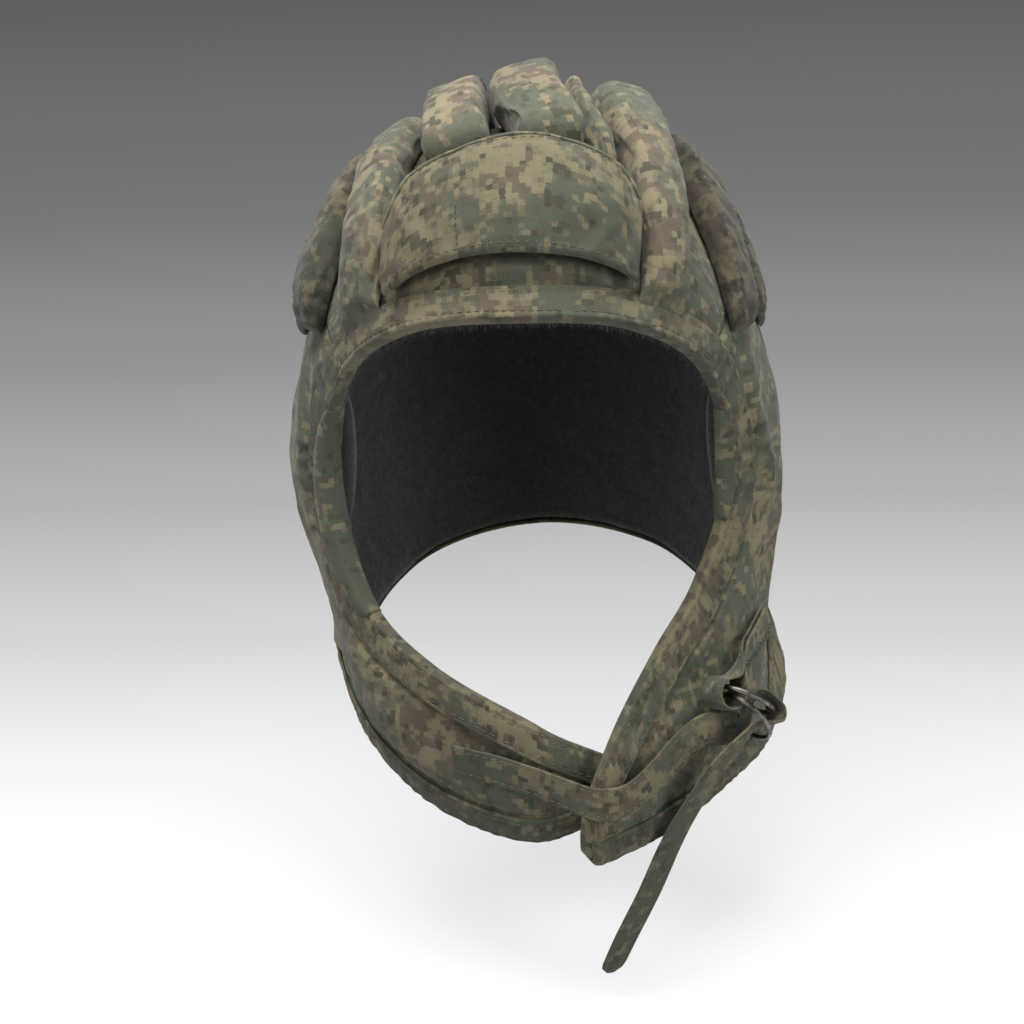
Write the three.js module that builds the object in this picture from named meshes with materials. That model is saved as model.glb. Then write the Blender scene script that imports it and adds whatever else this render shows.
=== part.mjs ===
// Soft paratrooper helmet of camouflage cloth, as worn: a padded hood with stuffed rolls on the crown,
// cheek flaps that cross under the chin, and a chin strap closed in a pair of wire rings.
// Millimetres, +Z up, the face opening towards -Y, the wearer's left towards +X.
// The origin is the inside of the crown, where the head carries the helmet.
import * as THREE from 'three';
import { mergeVertices } from 'three/addons/utils/BufferGeometryUtils.js';

// Cloth and padding
const SHELL = 4.0; // outer cloth with its padding
const LINING = 1.8; // fleece inside
const CLEARANCE = 0.5; // between pieces that are sewn or lie together
const LINING_CLEARANCE = 1.3; // the fleece hangs a little free of the outer cloth
const FOOT_CLEARANCE = 0.9; // under rolls and pads, whose feet bridge the curve of the hood
const BAND_WIDTH = 13.5; // bindings of the face edge and the neck edge
const BAND_THICKNESS = 1.6;
const BAND_CLEARANCE = 1.1; // the bindings bridge the curve of the cloth below them
const PANEL_SEAM = 2; // arch column at which the side panels are sewn to the crown

// Chin strap, ring tab and rings
const STRAP_WIDTH = 14;
const STRAP_THICKNESS = 1.6;
const RING_DIAMETER = 28;
const RING_WIRE = 2.4;

// Colours
const KHAKI = 0x8f8365;
const GREY_GREEN = 0x666f5c;
const FLEECE_GREY = 0x3a3a38;
const DARK_STEEL = 0x5a5754;

// Outer surface of the hood. Each row is an arch over the head, from the face edge back to the neck edge.
// Columns run from the middle of the head down the wearer's left side, and the right side mirrors them.
const ARCHES = [
  { name: 'face edge', centre: [0, -94, -43], shoulder: [44, -83, -50], temple: [72, -55, -78], ear: [80, -42, -126] },
  { name: 'front', centre: [0, -58, -5], shoulder: [47, -50, -18], temple: [80, -38, -62], ear: [91, -30, -126] },
  { name: 'crown', centre: [0, -4, 7.2], shoulder: [51, -2, -8], temple: [85, -8, -58], ear: [98, -14, -128] },
  { name: 'back', centre: [0, 50, -7], shoulder: [48, 46, -21], temple: [84, 26, -62], ear: [101, 6, -133] },
  { name: 'occiput', centre: [0, 89, -46], shoulder: [44, 80, -54], temple: [78, 56, -80], ear: [99, 26, -145] },
  { name: 'upper nape', centre: [0, 101, -98], shoulder: [42, 92, -104], temple: [74, 70, -124], ear: [94, 32, -168] },
  { name: 'nape', centre: [0, 95, -148], shoulder: [39, 87, -152], temple: [69, 68, -167], ear: [90, 29, -194] },
  { name: 'neck edge', centre: [0, 82, -190], shoulder: [36, 76, -194], temple: [64, 60, -204], ear: [84, 30, -218] },
];
// The two cheek flaps differ, because the right one passes under the chin inside the left one.
// Their edges are given here, and their rows between the two edges bulge outwards.
const FLAPS = {
  right: {
    side: -1,
    neckEar: [-78, 22, -216],
    face: { jaw: [-68, -56, -171], cheek: [-40, -80, -192], chin: [2, -93.5, -211], tip: [35, -76.5, -214.5] },
    neck: { jaw: [-75, -33, -232], cheek: [-46, -64, -256], chin: [-4, -86, -265], tip: [27, -81, -258] },
  },
  left: {
    side: 1,
    neckEar: [99.5, 10, -227],
    face: { jaw: [67, -54, -166], cheek: [51, -72, -188], chin: [35, -90, -212], tip: [21, -101, -238] },
    neck: { jaw: [94.5, -20, -248], cheek: [76, -48, -258.5], chin: [51, -76, -267], tip: [22, -100, -271] },
  },
};
const FLAP_BULGE = 5;
const ROWS = ARCHES.length - 1;
const TIP = 7; // arch column of the flap tips

// Stuffed rolls on the crown, front to back: arch column, row, width and height of each section
const CROWN_RIBS = [
  { name: 'crown_rib_1', boxy: 2.8, path: [
    { column: -1.35, row: 0.47, width: 27, height: 6 },
    { column: -1.2, row: 0.85, width: 23, height: 14 },
    { column: -1.02, row: 1.5, width: 21, height: 18 },
    { column: -0.92, row: 2.2, width: 22, height: 18 },
    { column: -0.94, row: 3.2, width: 22, height: 16 },
    { column: -0.9, row: 4.1, width: 20, height: 9 },
  ] },
  { name: 'crown_rib_2', boxy: 3.6, path: [
    { column: -0.42, row: 1.3, width: 26, height: 19 },
    { column: -0.45, row: 2.0, width: 25, height: 22 },
    { column: -0.48, row: 2.8, width: 22.5, height: 20 },
    { column: -0.48, row: 4.2, width: 18, height: 9 },
  ] },
  { name: 'crown_rib_3', boxy: 3.6, path: [
    { column: 0.25, row: 1.32, width: 28, height: 20 },
    { column: 0.03, row: 2.0, width: 24, height: 25 },
    { column: 0.0, row: 2.8, width: 23, height: 25 },
    { column: 0.02, row: 4.2, width: 18, height: 10 },
  ] },
  { name: 'crown_rib_4', boxy: 2.4, path: [
    { column: 0.66, row: 1.36, width: 13, height: 12 },
    { column: 0.37, row: 2.0, width: 9, height: 21 },
    { column: 0.33, row: 2.8, width: 9, height: 20 },
    { column: 0.36, row: 4.1, width: 10, height: 9 },
  ] },
  { name: 'crown_rib_5', boxy: 2.6, path: [
    { column: 1.22, row: 0.36, width: 22, height: 6 },
    { column: 1.12, row: 0.85, width: 21, height: 14 },
    { column: 1.0, row: 1.4, width: 22, height: 18 },
    { column: 0.74, row: 2.1, width: 25, height: 23 },
    { column: 0.73, row: 3.0, width: 25, height: 20 },
    { column: 0.8, row: 4.1, width: 21, height: 9 },
  ] },
];

// Side rolls, which run down across the temples behind the outer crown ribs; each is made on both sides,
// and those on the left are stuffed less
const ROLL_SIDES = [
  { name: 'left', side: 1, fullness: 0.8 },
  { name: 'right', side: -1, fullness: 1 },
];
const SIDE_ROLLS = [
  { name: 'side_roll', boxy: 3.2, path: [
    { column: 1.25, row: 2.1, width: 24, height: 17 },
    { column: 1.5, row: 1.85, width: 24, height: 15 },
    { column: 1.8, row: 1.5, width: 22, height: 10 },
    { column: 2.06, row: 1.2, width: 19, height: 5 },
  ] },
  { name: 'rear_roll', boxy: 3.2, path: [
    { column: 1.24, row: 3.15, width: 24, height: 15 },
    { column: 1.6, row: 2.95, width: 24, height: 13 },
    { column: 1.95, row: 2.65, width: 22, height: 9 },
    { column: 2.28, row: 2.35, width: 19, height: 5 },
  ] },
];

// Forehead pad: an arch of thick padding, given at its two long edges by arch column, row and height
const FOREHEAD_PAD = [
  { low: [-1.04, 0.3], lowHeight: 8, high: [-0.86, 0.8], highHeight: 18 },
  { low: [-0.8, 0.36], lowHeight: 12, high: [-0.68, 0.99], highHeight: 21 },
  { low: [-0.4, 0.42], lowHeight: 13, high: [-0.36, 1.12], highHeight: 21 },
  { low: [0, 0.44], lowHeight: 13, high: [0, 1.22], highHeight: 21 },
  { low: [0.4, 0.42], lowHeight: 13, high: [0.36, 1.16], highHeight: 21 },
  { low: [0.74, 0.36], lowHeight: 12, high: [0.62, 1.08], highHeight: 21 },
  { low: [0.92, 0.3], lowHeight: 8, high: [0.78, 0.97], highHeight: 18 },
];

// Rings of the buckle: centre, the way to the end away from the tab, and the way to the front
const RINGS = [
  { name: 'buckle_ring_1', centre: [83.9, -65.9, -212.7], far: [0.76, 0.27, -0.59], front: [0.53, -0.78, 0.33] },
  { name: 'buckle_ring_2', centre: [84, -66.6, -219.8], far: [0.54, 0.17, -0.82], front: [0.6, -0.76, 0.25] },
];

// Chin strap: middle line and the direction of its width. It starts stitched to the right flap, crosses the
// left flap, and goes up through both rings, back over the far end of the first one and through the second.
// Places in the buckle are given by ring number, with mm to its far end, to the front and above its plane.
const CHIN_STRAP = [
  { at: [-33, -84.8, -229], across: [0.07, -0.21, 0.98] },
  { at: [-23, -90.3, -229.4], across: [0.05, -0.17, 0.98] },
  { at: [-13.7, -93.6, -230.6], across: [0.04, -0.13, 0.99] },
  { at: [0.8, -98, -233.8], across: [0.02, -0.12, 0.99] },
  { at: [14, -104, -236.6], across: [0.02, -0.06, 1] },
  { at: [26.6, -108, -239.2], across: [0.04, 0.04, 1] },
  { at: [38.9, -100, -239.8], across: [0.05, 0.05, 1] },
  { at: [49.8, -91, -233.2], across: [0.04, 0.06, 1] },
  { at: [57.6, -83.6, -226.8], across: [0.02, 0.08, 1] },
  { at: [67.2, -74, -222.8], across: [-0.15, 0.05, 0.98] },
  { at: [75.6, -68.2, -224.4], across: [-0.35, -0.05, 0.92] },
  { ring: 2, far: 1.9, front: -2.8, above: 0, across: [-0.87, 0.49, 0] },
  { ring: 1, far: 3.3, front: -1, above: -0.5, across: [-0.56, 0.83, 0] },
  { ring: 1, far: 5, front: -0.2, above: 4, across: [-0.4, 0.88, 0.25] },
  { ring: 1, far: 9.5, front: 0.5, above: 5.6, across: [-0.1, 1, 0] },
  { ring: 1, far: 15, front: 1, above: 3.2, across: [0, 1, 0] },
  { ring: 1, far: 16.2, front: 1.5, above: -1.6, across: [0, 1, 0] },
  { ring: 1, far: 12.8, front: 2.2, above: -4.9, across: [-0.1, 1, 0.1] },
  { ring: 2, far: 5.6, front: 3, above: 0, across: [-0.5, 0.87, 0] },
  { at: [82.6, -74.8, -227.4], across: [-0.2, -0.8, 0.6] },
  { at: [74.2, -79, -235.4], across: [-0.4, -0.76, 0.55] },
  { at: [66, -81.4, -246.8], across: [-0.48, -0.76, 0.5] },
  { at: [58.3, -82.8, -259.2], across: [-0.52, -0.72, 0.48] },
  { at: [52, -82.8, -272.2], across: [-0.56, -0.68, 0.45] },
  { at: [44.4, -82, -290.6], across: [-0.58, -0.66, 0.4] },
  { at: [35.1, -81.5, -310], across: [-0.58, -0.66, 0.4] },
  { at: [27.5, -80.5, -327.4], across: [-0.55, -0.7, 0.35] },
];

// Ring tab: a short strap stitched to the left flap and folded round the two rings at its eye
const RING_TAB = [
  { at: [93.6, -28, -193], across: [-0.2, -0.4, 0.9] },
  { at: [89.2, -37.5, -198], across: [-0.2, -0.45, 0.87] },
  { at: [84.8, -47.5, -201], across: [-0.15, -0.6, 0.78] },
  { at: [81, -57.5, -203.3], across: [0.3, -0.78, 0.55] },
];
const EYE = { centre: [76.6, -68.8, -208.5], axis: [0.57, -0.77, 0.27], radius: 6.4 };

// Ear pads inside the hood: middle and half extent of each, in arch columns and rows
const EAR_PAD = { column: 2.84, row: 0.46, columnReach: 0.52, rowReach: 0.4, height: 9 };

const vec = (p) => new THREE.Vector3(...p);

// Smooth curve through evenly counted values, read at t = 0 .. n - 1
function smooth(values, t) {
  const last = values.length - 1;
  const i = Math.min(Math.max(Math.floor(t), 0), last - 1);
  const f = t - i;
  const before = i > 0 ? values[i - 1] : values[0].clone().multiplyScalar(2).sub(values[1]);
  const after = i + 2 <= last ? values[i + 2] : values[last].clone().multiplyScalar(2).sub(values[last - 1]);
  const weights = [
    (-f + 2 * f * f - f * f * f) / 2,
    (2 - 5 * f * f + 3 * f * f * f) / 2,
    (f + 4 * f * f - 3 * f * f * f) / 2,
    (f * f * f - f * f) / 2,
  ];
  return new THREE.Vector3()
    .addScaledVector(before, weights[0])
    .addScaledVector(values[i], weights[1])
    .addScaledVector(values[i + 1], weights[2])
    .addScaledVector(after, weights[3]);
}

// The hood's table of points: rows of 15 columns, from the right flap's tip over the head to the left one's
function hoodTable() {
  return ARCHES.map((arch, row) => {
    const share = row / ROWS;
    const half = (flap) => {
      const ear = row === ROWS ? vec(flap.neckEar) : vec(arch.ear).multiply(vec([flap.side, 1, 1]));
      const upper = [arch.centre, arch.shoulder, arch.temple].map((p) => vec([flap.side * p[0], p[1], p[2]]));
      const lower = ['jaw', 'cheek', 'chin', 'tip'].map((column) => {
        const p = vec(flap.face[column]).lerp(vec(flap.neck[column]), share);
        const outwards = new THREE.Vector3(p.x, p.y, 0).normalize();
        return p.addScaledVector(outwards, FLAP_BULGE * 4 * share * (1 - share));
      });
      return [...upper, ear, ...lower];
    };
    return [...half(FLAPS.right).reverse(), ...half(FLAPS.left).slice(1)];
  });
}
const HOOD = hoodTable();

// Point of the hood's outer surface at an arch column (-7 .. 7) and a row (0 .. 7)
function surface(column, row) {
  const across = HOOD.map((points) => smooth(points, column + TIP));
  return smooth(across, row);
}

const STEP = 0.002;
function frameAt(column, row) {
  const at = surface(column, row);
  const alongColumn = surface(column + STEP, row).sub(surface(column - STEP, row)).divideScalar(2 * STEP);
  const alongRow = surface(column, row + STEP).sub(surface(column, row - STEP)).divideScalar(2 * STEP);
  const normal = alongColumn.clone().cross(alongRow).normalize();
  return { at, alongColumn, alongRow, normal };
}

// The same place, lifted off the surface
function lifted(column, row, lift) {
  const f = frameAt(column, row);
  return f.at.addScaledVector(f.normal, lift);
}

// Share of a step along the rows that leads square away from the line along the columns
function squareness({ alongColumn, alongRow }) {
  const edge = alongColumn.clone().normalize();
  const step = alongRow.clone().normalize();
  return step.addScaledVector(edge, -step.dot(edge)).length();
}

// Row that lies a distance in mm inside an edge row, +1 towards the back and -1 towards the face
function rowInside(column, edgeRow, distance, direction) {
  const stepRow = 0.01;
  let row = edgeRow;
  let travelled = 0;
  while (travelled < distance) {
    const f = frameAt(column, row);
    travelled += f.alongRow.length() * stepRow * squareness(f);
    row += direction * stepRow;
  }
  return row;
}

// Triangles of a ring, fit for the flat ends of a solid; those of a wall run across between its two skins
function capTriangles(ring, isWall) {
  if (!isWall) return THREE.ShapeUtils.triangulateShape(capOutline(ring), []);
  const opposite = ring.length - 1;
  return spread(0, ring.length / 2 - 2, ring.length / 2 - 2).flatMap((k) => [
    [k, k + 1, opposite - k],
    [k + 1, opposite - k - 1, opposite - k],
  ]);
}

// Closed solid through rings of points: each ring is one cross-section, and both ends are capped
function loft(rings, isWall = false) {
  const count = rings[0].length;
  const positions = rings.flat().flatMap((p) => [p.x, p.y, p.z]);
  const index = [];
  for (let r = 0; r < rings.length - 1; r++) {
    for (let k = 0; k < count; k++) {
      const a = r * count + k;
      const b = r * count + ((k + 1) % count);
      index.push(a, b, a + count, b, b + count, a + count);
    }
  }
  const lastRing = (rings.length - 1) * count;
  for (const [a, b, c] of capTriangles(rings[0], isWall)) index.push(a, c, b);
  for (const [a, b, c] of capTriangles(rings[rings.length - 1], isWall)) {
    index.push(lastRing + a, lastRing + b, lastRing + c);
  }
  return solid(positions, index);
}

// Flat outline of a ring, for the triangles that cap it
function capOutline(ring) {
  const centre = ring.reduce((sum, p) => sum.add(p), new THREE.Vector3()).divideScalar(ring.length);
  const xAxis = ring[0].clone().sub(centre).normalize();
  const normal = new THREE.Vector3();
  ring.forEach((p, k) => {
    const next = ring[(k + 1) % ring.length];
    normal.add(p.clone().sub(centre).cross(next.clone().sub(centre)));
  });
  const yAxis = normal.normalize().cross(xAxis).normalize();
  return ring.map((p) => {
    const offset = p.clone().sub(centre);
    return new THREE.Vector2(offset.dot(xAxis), offset.dot(yAxis));
  });
}

// Geometry from positions and triangles, turned inside out where its volume comes out negative
function solid(positions, index) {
  let geometry = new THREE.BufferGeometry();
  geometry.setAttribute('position', new THREE.Float32BufferAttribute(positions, 3));
  geometry.setIndex(index);
  geometry = mergeVertices(geometry, 1e-4);
  if (signedVolume(geometry) < 0) {
    const flipped = geometry.index.array;
    for (let i = 0; i < flipped.length; i += 3) [flipped[i], flipped[i + 1]] = [flipped[i + 1], flipped[i]];
  }
  geometry.computeVertexNormals();
  return geometry;
}

function signedVolume(geometry) {
  const position = geometry.attributes.position;
  const index = geometry.index.array;
  const corner = (i) => new THREE.Vector3().fromBufferAttribute(position, index[i]);
  let volume = 0;
  for (let i = 0; i < index.length; i += 3) {
    volume += corner(i).dot(corner(i + 1).cross(corner(i + 2))) / 6;
  }
  return volume;
}

const spread = (from, to, steps) => Array.from({ length: steps + 1 }, (_, i) => from + ((to - from) * i) / steps);

// A wall of cloth between two lifts off the hood, over a range of columns and rows
function wall(columns, rowsAt, outerLift, innerLift) {
  const rings = columns.map((column) => {
    const rows = rowsAt(column);
    const outer = rows.map((row) => lifted(column, row, outerLift));
    const inner = rows.map((row) => lifted(column, row, innerLift)).reverse();
    return [...outer, ...inner];
  });
  return loft(rings, true);
}

// Rows from edge to edge at a column, short of both edges by a distance
const rowsInside = (column, inset, steps) =>
  spread(rowInside(column, 0, inset, 1), rowInside(column, ROWS, inset, -1), steps);

// Stations of the crown and of the left side, short of the seams and the tips; the right side mirrors the left
const SEAM_GAP = 0.01; // in columns, about 0.4 mm
const LIP = BAND_THICKNESS + BAND_CLEARANCE;
const ROW_STEPS = 14;
const CROWN_COLUMNS = spread(SEAM_GAP - PANEL_SEAM, PANEL_SEAM - SEAM_GAP, 16);
const JAW = 4; // the stations stand closer down to this column
const SIDE_COLUMNS = [...spread(PANEL_SEAM + SEAM_GAP, JAW, 8), ...spread(JAW, TIP - SEAM_GAP, 6).slice(1)];
const RIGHT_COLUMNS = SIDE_COLUMNS.map((column) => -column).reverse();

// Panel of the hood over some stations, with its edges inside the lips of the bindings
const panel = (columns) => wall(columns, (column) => rowsInside(column, LIP, ROW_STEPS), 0, -SHELL);

// Fleece lining, one skin from flap tip to flap tip
function lining() {
  const outer = -SHELL - LINING_CLEARANCE;
  const crown = CROWN_COLUMNS.filter((_, i) => i % 2 === 0);
  const columns = [...RIGHT_COLUMNS, ...crown, ...SIDE_COLUMNS];
  return wall(columns, (column) => rowsInside(column, LIP, ROW_STEPS), outer, outer - LINING);
}

// The bindings run over all three panels
const BAND_COLUMNS = [...RIGHT_COLUMNS, ...CROWN_COLUMNS, ...SIDE_COLUMNS];

// Binding folded over an edge of the hood: its outside leaf lies on the cloth and its lip covers the edge
function band(edgeRow, direction) {
  const top = BAND_CLEARANCE + BAND_THICKNESS;
  const under = -SHELL - LINING_CLEARANCE / 2;
  const rings = BAND_COLUMNS.map((column) => {
    const edge = frameAt(column, edgeRow);
    const away = edge.alongRow.clone().normalize().multiplyScalar(-direction / squareness(edge));
    const beyond = (distance, lift) =>
      edge.at.clone().addScaledVector(away, distance).addScaledVector(edge.normal, lift);
    const half = rowInside(column, edgeRow, BAND_WIDTH / 2, direction);
    const full = rowInside(column, edgeRow, BAND_WIDTH, direction);
    return [
      lifted(column, full, BAND_CLEARANCE),
      lifted(column, half, BAND_CLEARANCE),
      beyond(-BAND_THICKNESS, BAND_CLEARANCE),
      beyond(-BAND_THICKNESS, under),
      beyond(0, under),
      beyond(0, BAND_CLEARANCE),
      beyond(-BAND_THICKNESS, top),
      lifted(column, half, top),
      lifted(column, full, top),
    ];
  });
  return loft(rings);
}

// Point of the hood some mm across and forward from a place on it, at a lift
function beside(place, across, lift) {
  const { alongColumn, alongRow } = place.frame;
  const cc = alongColumn.dot(alongColumn);
  const cr = alongColumn.dot(alongRow);
  const rr = alongRow.dot(alongRow);
  const c = place.across.dot(alongColumn) * across;
  const r = place.across.dot(alongRow) * across;
  const det = cc * rr - cr * cr;
  return lifted(place.column + (c * rr - r * cr) / det, place.row + (r * cc - c * cr) / det, lift);
}

// Stuffed roll laid on the hood: rounded-box sections along a path, closing in at both ends
const ROLL_END = 11; // length over which an end rounds off
const ROLL_FOOT = 0.86; // foot of a roll, as a share of its width
function roll(path, boxy, stations) {
  const placeVectors = path.map((p) => new THREE.Vector3(p.column, p.row, 0));
  const sizeVectors = path.map((p) => new THREE.Vector3(p.width, p.height, 0));
  const spans = path.length - 1;
  const samples = spread(0, spans, 60).map((t) => surface(...smooth(placeVectors, t).toArray().slice(0, 2)));
  const lengths = [0];
  samples.slice(1).forEach((p, i) => lengths.push(lengths[i] + p.distanceTo(samples[i])));
  const total = lengths[lengths.length - 1];
  const endSteps = [0.1, 1.5, 5, ROLL_END];
  const distances = [
    ...endSteps,
    ...spread(ROLL_END, total - ROLL_END, stations).slice(1, -1),
    ...endSteps.map((d) => total - d).reverse(),
  ];
  const rings = distances.map((distance) => {
    const after = Math.max(lengths.findIndex((l) => l >= distance), 1);
    const part = (distance - lengths[after - 1]) / (lengths[after] - lengths[after - 1]);
    const t = ((after - 1 + part) * spans) / 60;
    const [column, row] = smooth(placeVectors, t).toArray();
    const [width, height] = smooth(sizeVectors, t).toArray();
    const ahead = surface(...smooth(placeVectors, Math.min(t + 0.01, spans)).toArray().slice(0, 2));
    const behind = surface(...smooth(placeVectors, Math.max(t - 0.01, 0)).toArray().slice(0, 2));
    const frame = frameAt(column, row);
    const across = ahead.sub(behind).cross(frame.normal).normalize();
    const place = { column, row, frame, across };
    const toEnd = Math.min(distance, total - distance, ROLL_END) / ROLL_END;
    const closing = Math.sqrt(1 - (1 - toEnd) ** 2);
    const h = height * (0.3 + 0.7 * closing);
    const w = (width / 2) * (0.72 + 0.28 * closing);
    return rollSection(boxy).map(([a, b]) => beside(place, a * w, FOOT_CLEARANCE + b * h));
  });
  return loft(rings);
}

// Section of a roll, as shares of half its width and of its height, round the top and back along the foot
function rollSection(boxy) {
  const power = 2 / boxy;
  const top = spread(0, Math.PI, 10).map((angle) => {
    const c = Math.cos(angle);
    const b = Math.sin(angle) ** power;
    const a = Math.sign(c) * Math.abs(c) ** power;
    const narrowing = ROLL_FOOT + (1 - ROLL_FOOT) * Math.min(b * 3, 1);
    return [a * narrowing, b];
  });
  return [...top, [-ROLL_FOOT / 2, 0], [0, 0], [ROLL_FOOT / 2, 0]];
}

// Forehead pad: its section runs up from the low edge to the high edge, with soft corners
function foreheadPad() {
  const last = FOREHEAD_PAD.length - 1;
  const lowEdge = FOREHEAD_PAD.map((p) => vec([...p.low, p.lowHeight]));
  const highEdge = FOREHEAD_PAD.map((p) => vec([...p.high, p.highHeight]));
  const rings = spread(0, last, 14).map((t) => {
    const low = smooth(lowEdge, t);
    const high = smooth(highEdge, t);
    const lowHeight = low.z;
    const highHeight = high.z;
    const at = (share, height) => {
      const place = low.clone().lerp(high, share);
      return lifted(place.x, place.y, FOOT_CLEARANCE + height);
    };
    return [
      at(0.03, 0),
      at(0, lowHeight * 0.5),
      at(0.01, lowHeight * 0.85),
      at(0.06, lowHeight),
      at(0.3, lowHeight + (highHeight - lowHeight) * 0.55),
      at(0.65, highHeight),
      at(0.93, highHeight),
      at(0.99, highHeight * 0.9),
      at(1, highHeight * 0.5),
      at(0.98, 0),
      at(0.66, 0),
      at(0.33, 0),
    ];
  });
  return loft(rings);
}

// Place or direction in the buckle, from a ring's number and shares to its far end, to the front and above
function ringFrame(number) {
  const place = RINGS[number - 1];
  const far = vec(place.far).normalize();
  const front = vec(place.front).addScaledVector(far, -vec(place.front).dot(far)).normalize();
  return { centre: vec(place.centre), far, front, above: front.clone().cross(far) };
}
function inRing(number, shares) {
  const { far, front, above } = ringFrame(number);
  return new THREE.Vector3()
    .addScaledVector(far, shares[0])
    .addScaledVector(front, shares[1])
    .addScaledVector(above, shares[2]);
}
const strapRows = CHIN_STRAP.map((row) => {
  if (!row.ring) return row;
  const at = ringFrame(row.ring).centre.add(inRing(row.ring, [row.far, row.front, row.above]));
  return { at: at.toArray(), across: inRing(row.ring, row.across).toArray() };
});

// Flat strap of even width through rows of middle point and width direction
function ribbon(rows, stepsPerRow) {
  const middle = rows.map((row) => vec(row.at));
  const acrossRows = rows.map((row) => vec(row.across));
  const last = rows.length - 1;
  const rings = spread(0, last, last * stepsPerRow).map((t) => {
    const along = smooth(middle, Math.min(t + 0.02, last)).sub(smooth(middle, Math.max(t - 0.02, 0))).normalize();
    const across = smooth(acrossRows, t).cross(along).cross(along).negate().normalize();
    const face = along.clone().cross(across);
    const corner = (side, up) =>
      smooth(middle, t)
        .addScaledVector(across, (side * STRAP_WIDTH) / 2)
        .addScaledVector(face, (up * STRAP_THICKNESS) / 2);
    return [corner(1, 1), corner(-1, 1), corner(-1, -1), corner(1, -1)];
  });
  return loft(rings);
}

// The tab's two layers run down side by side, open round the eye, and meet again
function ringTab() {
  const apart = (STRAP_THICKNESS + CLEARANCE) / 2;
  const layer = (side) =>
    RING_TAB.map((row, k) => {
      const here = vec(row.at);
      const next = vec(k < RING_TAB.length - 1 ? RING_TAB[k + 1].at : EYE.centre);
      const face = next.clone().sub(here).normalize().cross(vec(row.across)).normalize();
      return { at: here.addScaledVector(face, side * apart).toArray(), across: row.across };
    });
  const centre = vec(EYE.centre);
  const axis = vec(EYE.axis).normalize();
  const towardsTab = vec(RING_TAB[RING_TAB.length - 1].at).sub(centre);
  towardsTab.addScaledVector(axis, -towardsTab.dot(axis)).normalize();
  const side = towardsTab.clone().negate().cross(axis);
  const mouth = 0.6; // half angle of the eye's opening towards the tab
  const eye = spread(mouth, 2 * Math.PI - mouth, 9).map((angle) => ({
    at: centre
      .clone()
      .addScaledVector(towardsTab, EYE.radius * Math.cos(angle))
      .addScaledVector(side, EYE.radius * Math.sin(angle))
      .toArray(),
    across: EYE.axis,
  }));
  return ribbon([...layer(1), ...eye, ...layer(-1).reverse()], 2);
}

// Wire ring of the buckle
function ring(number) {
  const { centre, far, front, above } = ringFrame(number);
  const wireSides = 6;
  const segments = 20;
  const torus = new THREE.TorusGeometry((RING_DIAMETER - RING_WIRE) / 2, RING_WIRE / 2, wireSides, segments);
  torus.applyMatrix4(new THREE.Matrix4().makeBasis(far, front, above.negate()));
  torus.translate(...centre.toArray());
  return solid(Array.from(torus.attributes.position.array), Array.from(torus.index.array));
}

// Lens-shaped pad on the fleece over an ear, made of sections from its upper to its lower end
function earPad(side) {
  const fleece = -SHELL - LINING_CLEARANCE - LINING - FOOT_CLEARANCE;
  const rings = spread(0.12, Math.PI - 0.12, 8).map((angle) => {
    const column = side * (EAR_PAD.column - EAR_PAD.columnReach * Math.cos(angle));
    const share = Math.sin(angle);
    return spread(0, 2 * Math.PI, 10).slice(0, -1).map((turn) => {
      const row = EAR_PAD.row + EAR_PAD.rowReach * share * Math.cos(turn);
      return lifted(column, row, fleece - (EAR_PAD.height * share * (1 + Math.sin(turn))) / 2);
    });
  });
  return loft(rings);
}

const material = (color, metalness, roughness) => new THREE.MeshStandardMaterial({ color, metalness, roughness });
const CLOTH = material(KHAKI, 0, 0.9);
const CLOTH_GREEN = material(GREY_GREEN, 0, 0.9);
const FLEECE = material(FLEECE_GREY, 0, 1);
const STEEL = material(DARK_STEEL, 0.9, 0.35);

const helmet = new THREE.Group();
function add(name, geometry, finish) {
  const mesh = new THREE.Mesh(geometry, finish);
  mesh.name = name;
  helmet.add(mesh);
  return mesh;
}

add('crown_shell', panel(CROWN_COLUMNS), CLOTH);
add('side_panel_right', panel(RIGHT_COLUMNS), CLOTH);
add('side_panel_left', panel(SIDE_COLUMNS), CLOTH);
add('lining', lining(), FLEECE);
add('face_band', band(0, 1), CLOTH_GREEN);
add('neck_band', band(ROWS, -1), CLOTH_GREEN);
add('forehead_pad', foreheadPad(), CLOTH);
for (const rib of CROWN_RIBS) add(rib.name, roll(rib.path, rib.boxy, 7), CLOTH);
for (const { name, side, fullness } of ROLL_SIDES) {
  for (const part of SIDE_ROLLS) {
    const path = part.path.map((p) => ({ ...p, column: side * p.column, height: fullness * p.height }));
    add(`${part.name}_${name}`, roll(path, part.boxy, 3), CLOTH);
  }
  add(`ear_pad_${name}`, earPad(side), FLEECE);
}
add('chin_strap', ribbon(strapRows, 2), CLOTH);
add('ring_tab', ringTab(), CLOTH);
RINGS.forEach((place, i) => add(place.name, ring(i + 1), STEEL));

export default helmet;
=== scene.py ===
from math import cos, hypot, pi, radians, sin
import bmesh
import bpy
import numpy as np
from mathutils import Matrix, Vector
from mathutils.bvhtree import BVHTree
from numpy.linalg import norm


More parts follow.
